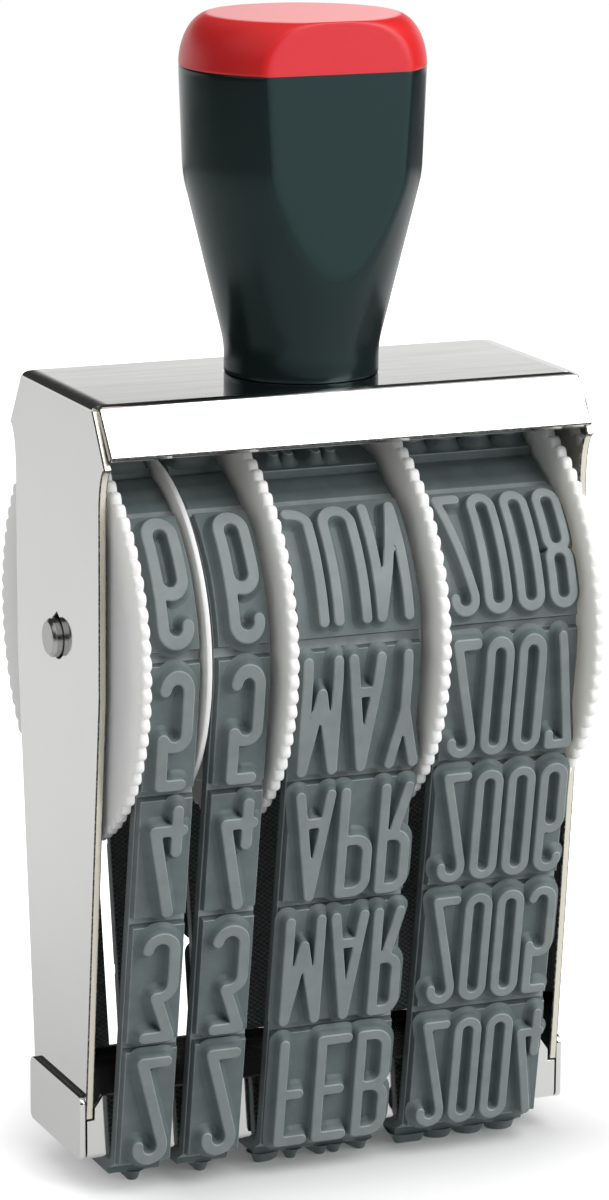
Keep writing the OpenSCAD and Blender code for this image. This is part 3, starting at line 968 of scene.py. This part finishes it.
def apron_section():
    """Bend and apron of the front as (u, z) with u to the front, tucked a little into the top."""
    fall = math.atan2(APRON_DROP, APRON_OUT)
    bend_u = TOP_D / 2 - APRON_BEND * math.tan(fall / 2)
    centre = (bend_u, HANDLE_Z - APRON_BEND)
    tip = (TOP_D / 2 + APRON_OUT, HANDLE_Z - APRON_DROP)
    inner_tip = (tip[0] - SHEET_T * math.sin(fall), tip[1] - SHEET_T * math.cos(fall))
    leave = 90 - math.degrees(fall)
    tuck_u = bend_u - APRON_TUCK
    outer = [(tuck_u, HANDLE_Z - APRON_SINK)] + arc(centre, APRON_BEND, 90, leave) + [tip]
    inner = [inner_tip] + arc(centre, APRON_BEND - SHEET_T, leave, 90)
    return bend_u, outer + inner + [(tuck_u, HANDLE_Z - SHEET_T + APRON_SINK)]


def add_frame(materials):
    """Folded sheet: two side plates, the top with its side bends, and the two aprons with soft corners."""
    half_w = box_mm("frame")[1].x
    bend_end = math.radians(90 - CROWN_TURN)
    bend_z = HANDLE_Z - CROWN_R + (CROWN_R - SIDE_BEND) * math.sin(bend_end)
    seam = bend_z + SIDE_BEND * math.sin(math.radians(BEND_START))
    plates = node_mesh("frame")
    loops = face_loops(plates, -half_w)
    top = max(z for loop in loops for _, z in loop)
    loops = [[(y, seam if z > top - TOUCH else z) for y, z in loop] for loop in loops]
    plates.free()
    work = bmesh.new()
    for side in (-1, 1):
        extrude_x(work, loops, side * half_w, side * (half_w - SHEET_T))
    bend_u, section = apron_section()
    bend = (half_w - SIDE_BEND * math.cos(math.radians(BEND_START)), bend_z)
    crown = (bend[0] - (CROWN_R - SIDE_BEND) * math.cos(bend_end), HANDLE_Z - CROWN_R)
    outer = arc(bend, SIDE_BEND, BEND_START, 90 - CROWN_TURN) + arc(crown, CROWN_R, 90 - CROWN_TURN, 90)[1:]
    inner = arc(bend, SIDE_BEND - SHEET_T, 90, BEND_START)
    across = outer + [(-x, z) for x, z in reversed(outer)] + [(-x, z) for x, z in reversed(inner)] + inner
    skin(work, [[(x, y, z) for x, z in across] for y in (-bend_u, bend_u)])
    right = bow(half_w - APRON_IN - CORNER_W, HANDLE_Z - CORNER_H, CORNER_W, CORNER_H, 0, 90)
    stops = [(-x, z) for x, z in right] + list(reversed(right))
    for side in (-1, 1):
        skin(work, [[(x, side * u, min(z, most)) for u, z in section] for x, most in stops])

    def on_seam(point):
        return abs(point.z - seam) < TOUCH or abs(abs(point.y) - bend_u) < TOUCH

    # The rounded edges get the rim material, painted dark for the dark reflection they would show.
    mesh = softened_mesh("frame", FRAME_EDGE, work, on_seam, edge_paint=RIM)
    add_piece("frame", mesh, "stamp_frame", "nickel", materials)


# Handle

def soft_least(a, b, soft):
    """Smaller of two lengths, blended where they are alike."""
    near = max(soft - abs(a - b), 0) / soft
    return min(a, b) - near * near * soft / 4


def grip_radius(h):
    """Radius of the handle at height h above the top plate: foot, cone and grip with soft bends."""
    foot, shoulder = FOOT_D / 2, SHOULDER_D / 2
    cone = foot + (shoulder - foot) * (h - FOOT_H) / (SHOULDER_H - FOOT_H)
    grip = shoulder + (GRIP_D / 2 - shoulder) * (h - SHOULDER_H) / (BODY_H - SHOULDER_H)
    return soft_least(-soft_least(-foot, -cone, BEND_SOFT), grip, BEND_SOFT)


def turned_with_flats(profile):
    """Closed turned form from its lower to its upper middle, cut by the two flats with a soft edge."""
    shell = Shell()
    points = [(0, 0, profile[0][1])]
    for r, z in profile:
        for i in range(HANDLE_SIDES):
            a = 2 * math.pi * i / HANDLE_SIDES
            limit = FLAT_Y / max(abs(math.sin(a)), TINY)
            reach = soft_least(r, limit, FLAT_SOFT)
            points.append((reach * math.cos(a), reach * math.sin(a), z))
    points.append((0, 0, profile[-1][1]))
    top = len(points) - 1
    last = 1 + (len(profile) - 1) * HANDLE_SIDES
    faces = []
    for i in range(HANDLE_SIDES):
        j = (i + 1) % HANDLE_SIDES
        faces.append([0, 1 + j, 1 + i])
        faces.append([top, last + i, last + j])
        for r in range(len(profile) - 1):
            base = 1 + r * HANDLE_SIDES
            faces.append([base + i, base + j, base + HANDLE_SIDES + j, base + HANDLE_SIDES + i])
    shell.add(points, faces)
    return shell


def body_profile():
    """Grip from the rounded rim of its foot up to the seam."""
    reach = BODY_H - GRIP_END - FOOT_EDGE
    heights = [FOOT_EDGE + reach * i / GRIP_RINGS for i in range(GRIP_RINGS + 1)]
    low = FOOT_ROUND * FOOT_EDGE
    foot = [(FOOT_D / 2 - FOOT_EDGE, HANDLE_Z), (FOOT_D / 2 - low, HANDLE_Z + low)]
    rim = [(GRIP_D / 2 - SEAM_LIP, SEAM_Z - SEAM_LIP_H), (GRIP_D / 2 - SEAM_IN, SEAM_Z)]
    return foot + [(grip_radius(h), HANDLE_Z + h) for h in heights] + rim


def cap_profile():
    """Rounded cap: an upright oval side up to a faint crease, then a shallow dome."""
    r, crease = GRIP_D / 2, math.radians(CAP_CREASE)
    side_h = (CAP_H - CAP_DOME) / math.sin(crease)
    dome_r = r - CAP_ROUND * (1 - math.cos(crease))
    profile = [(r - SEAM_IN, SEAM_Z), (r - SEAM_LIP, SEAM_Z + SEAM_LIP_H)]
    for i in range(1, CAP_SIDE_RINGS + 1):
        a = crease * i / CAP_SIDE_RINGS
        profile.append((r - CAP_ROUND * (1 - math.cos(a)), SEAM_Z + side_h * math.sin(a)))
    for i in range(1, CAP_TOP_RINGS):
        t = 1 - i / CAP_TOP_RINGS
        profile.append((dome_r * t, SEAM_Z + CAP_H - CAP_DOME * t * t))
    return profile


def add_handle(black, red):
    """Grip and cap."""
    grips = (
        ("handle_body", body_profile(), "black_plastic", black),
        ("handle_cap", cap_profile(), "red_plastic", red),
    )
    for node, profile, slot, material in grips:
        mesh = shell_mesh(node, turned_with_flats(profile))
        add_piece(node, mesh, "stamp_frame", slot, [material], sharp_angle=40)


# Stage, lights and camera, in metres

# Floor: its half width, and the white that is added for the camera near the stamp, far off and at the left;
# less white near the stamp is painted shade round it, more at the left is painted light over the real shadow
# there
FLOOR_REACH = 0.8
FLOOR_GREY = 0.6
FOOTPRINT = (0.031, 0.009, 0)
NEAR_END = 0.012
NEAR_LIFT = (0.1, 0.36)
FAR_END = 0.05
FAR_LIFT = 0.64
LEFT_FROM_TO = (-0.02, -0.04)
LEFT_LIFT = 0.5
# Floor in mirrors: lifted near by, dark far off
FLOOR_MIRROR_LIFT = 0.34
FLOOR_DARK = 0.12
FLOOR_DARK_FROM_TO = (0.6, 0.74)
# Surroundings: light on matt surfaces, and what mirrors see, by the height and depth of a direction
AMBIENT = 0.45
WALL_DARK = 0.05
WALL_TOP = (0.176, 0.215)
WALL_BEHIND = (0.45, 0.75)
CEILING = 0.9
CEILING_ABOVE = (0.35, 0.5)
CEILING_FRONT = (0.2, 0.34)
# Point that the lamps face
LIT_POINT = (0, 0, 0.07)
# Camera: its place is in millimetres
CAMERA_PLACE = (-220.735, -526.09, 201.95)
AZIMUTH = -22.82
ELEVATION = 13.01
ROLL = 0.31
FOCAL_LENGTH = 141.66
SENSOR_W = 36
CLIP_END = 50


def add_floor():
    """White table with a soft shadow that is partly painted: the camera's lift is smaller near the stamp,
    painted shade, and larger at the left, painted light over the real shadow; what the camera and mirrors see
    of it is lifted to white.
    """
    mesh = bpy.data.meshes.new("floor")
    corners = [(x * FLOOR_REACH, y * FLOOR_REACH, 0) for x, y in ((-1, -1), (1, -1), (1, 1), (-1, 1))]
    mesh.from_pydata(corners, [], [[0, 1, 2, 3]])
    floor = bpy.data.objects.new("floor", mesh)
    bpy.context.scene.collection.objects.link(floor)
    material = bpy.data.materials.new("floor_white")
    material.use_nodes = True
    t = Tree(material.node_tree)
    t.tree.nodes.remove(t.tree.nodes["Principled BSDF"])
    mirrored = t.to_mirrors()
    place = t.node("TexCoord").outputs["Object"]
    past = t.node("VectorMath", {0: place}, operation="ABSOLUTE").outputs[0]
    past = t.node("VectorMath", {0: past, 1: FOOTPRINT}, operation="SUBTRACT").outputs[0]
    past = t.node("VectorMath", {0: past, 1: (0, 0, 0)}, operation="MAXIMUM").outputs[0]
    away = t.node("VectorMath", {0: past}, operation="LENGTH").outputs["Value"]
    # Smaller lift near the stamp: painted shade round its foot.
    near = t.span(away, 0.0, NEAR_END, *NEAR_LIFT)
    # Extra lift at the left: painted light over the real shadow there.
    left = t.span(t.node("SeparateXYZ", {0: place}).outputs[0], *LEFT_FROM_TO, 0.0, LEFT_LIFT)
    white = t.math("ADD", t.math("ADD", near, left), t.span(away, NEAR_END, FAR_END, 0.0, FAR_LIFT))
    from_middle = t.node("VectorMath", {0: place}, operation="LENGTH").outputs["Value"]
    far = t.span(from_middle, *FLOOR_DARK_FROM_TO)
    camera_lift = t.math("MULTIPLY", t.to_camera(), white)
    mirror_lift = t.math("MULTIPLY", mirrored, t.blend(far, FLOOR_MIRROR_LIFT, 0.0))
    colour = t.mix(t.math("MULTIPLY", far, mirrored), grey(FLOOR_GREY), grey(FLOOR_DARK))
    diffuse = t.node("BsdfDiffuse", {"Color": colour})
    lift = t.node("Emission", {"Strength": t.math("ADD", camera_lift, mirror_lift)})
    total = t.node("AddShader", {0: diffuse.outputs[0], 1: lift.outputs[0]})
    t.feed(t.tree.nodes["Material Output"].inputs["Surface"], total.outputs[0])
    mesh.materials.append(material)


def set_world():
    """Even soft light for matt surfaces; mirrors see a low white wall behind and a light ceiling in front."""
    world = bpy.data.worlds.new("studio")
    bpy.context.scene.world = world
    world.use_nodes = True
    t = Tree(world.node_tree)
    _, y, z = t.node("SeparateXYZ", {0: t.node("TexCoord").outputs["Generated"]}).outputs
    wall = t.math("MULTIPLY", t.span(z, *WALL_TOP, 1.0, 0.0), t.span(y, *WALL_BEHIND))
    ceiling = t.math("MULTIPLY", t.span(y, *CEILING_FRONT, CEILING, 0.0), t.span(z, *CEILING_ABOVE))
    seen = t.span(t.math("MAXIMUM", wall, ceiling), 0.0, 1.0, WALL_DARK, 1.0)
    level = t.blend(t.to_mirrors(), AMBIENT, seen)
    t.feed(t.tree.nodes["Background"].inputs["Strength"], t.blend(t.to_camera(), level, 1.0))
    t.feed(t.tree.nodes["Background"].inputs["Color"], grey(1.0))


def add_softbox(name, place, size, power, mirrored=True):
    """Soft lamp that faces the stamp."""
    light = bpy.data.lights.new(name, "AREA")
    light.shape = "RECTANGLE"
    light.size, light.size_y = size
    light.energy = power
    lamp = bpy.data.objects.new(name, light)
    lamp.location = place
    lamp.rotation_euler = (Vector(LIT_POINT) - Vector(place)).to_track_quat("-Z", "Y").to_euler()
    lamp.visible_glossy = mirrored
    bpy.context.scene.collection.objects.link(lamp)


def add_camera():
    """Camera at the fitted place and angles."""
    azimuth, elevation, roll = (math.radians(a) for a in (AZIMUTH, ELEVATION, ROLL))
    flat = math.cos(elevation)
    back = Vector((math.sin(azimuth) * flat, -math.cos(azimuth) * flat, math.sin(elevation)))
    level = Vector((math.cos(azimuth), math.sin(azimuth), 0))
    upward = back.cross(level)
    right = math.cos(roll) * level + math.sin(roll) * upward
    up = -math.sin(roll) * level + math.cos(roll) * upward
    lens = bpy.data.cameras.new("camera")
    lens.lens = FOCAL_LENGTH
    lens.sensor_width = SENSOR_W
    lens.clip_end = CLIP_END
    camera = bpy.data.objects.new("camera", lens)
    camera.matrix_world = Matrix((right, up, back)).transposed().to_4x4()
    camera.location = Vector(CAMERA_PLACE) * MM
    bpy.context.scene.collection.objects.link(camera)
    bpy.context.scene.camera = camera


# Making

nickel = nickel_plate()
steel = turned_steel()
plastic = white_plastic()
weave = black_weave()
rubbers = [
    band_rubber("band_rubber", grey(0.088, 0.026, 0.028), grey(0.116, 0.03, 0.032), grey(0.22, 0.02, 0.02)),
    # Lighter type faces: partly wear, partly painted light for the light their tops catch.
    band_rubber("type_face_worn_and_lit", grey(0.16, 0.027, 0.028), grey(0.197, 0.028, 0.029), grey(0.31, 0.02, 0.02)),
    # Lighter rounded edges of type and tiles: partly wear, partly painted highlight where the edges catch
    # light.
    band_rubber("rubber_edge_worn_and_lit", grey(0.19, 0.033, 0.035), grey(0.275, 0.033, 0.035), grey(0.4, 0.02, 0.02)),
]
# The top colour of each grip is a painted sheen on its upward faces.
black = grip_plastic(
    "grip_black", ior=1.34, tint=(0.7, 1.0, 0.98, 1), gloss=0.2, satin=0.42,
    face=(0.007, 0.0125, 0.0128, 1), flat=(0.0115, 0.0235, 0.024, 1), top=grey(0.02))
red = grip_plastic(
    "cap_red", ior=1.42, tint=grey(1.0), gloss=0.32, satin=0.36,
    face=(0.61, 0.012, 0.014, 1), flat=(0.63, 0.021, 0.031, 1), top=(0.785, 0.373, 0.373, 1))

years = [str(FIRST_YEAR + k) for k in range(TILE_COUNT)]
add_band("day_tens_band", DAYS, DAY_CHAR_W, DAY_STROKE, DAY_BLANK, DAY_DRUM, rubbers)
add_band("day_units_band", DAYS, DAY_CHAR_W, DAY_STROKE, DAY_BLANK, DAY_DRUM, rubbers)
add_band("month_band", MONTHS, MONTH_CHAR_W, MONTH_STROKE, MONTH_BLANK, MONTH_DRUM, rubbers)
add_band("year_band", years, YEAR_CHAR_W, YEAR_STROKE, YEAR_BLANK, YEAR_DRUM, rubbers)
for part in ("day_tens", "day_units", "month", "year"):
    add_backing(part + "_backing", weave)
    add_wheel(part, plastic)
disc = softened_mesh("separator_disc", DISC_EDGE)
add_piece("separator_disc", disc, "separator", "white_plastic", [plastic])
add_frame([nickel, painted_dark_rim(), cut_edge()])
add_piece("bridge", softened_mesh("bridge", BRIDGE_EDGE), "stamp_frame", "nickel", [nickel])
for node, edge in (("axle", AXLE_EDGE), ("handle_screw", SCREW_EDGE), ("screw_washer", WASHER_EDGE)):
    add_piece(node, softened_mesh(node, edge), "stamp_frame", "steel", [steel])
add_handle(black, red)

add_floor()
set_world()
add_softbox("key_softbox", place=(0.5, -0.6, 0.42), size=(0.5, 0.6), power=4.6)
add_softbox("top_softbox", place=(0.28, -0.36, 0.78), size=(0.6, 0.5), power=3.2)
add_softbox("back_softbox", place=(0.1, 0.5, 0.75), size=(0.8, 0.5), power=2.5, mirrored=False)
add_camera()
bpy.context.scene.view_settings.view_transform = "Standard"
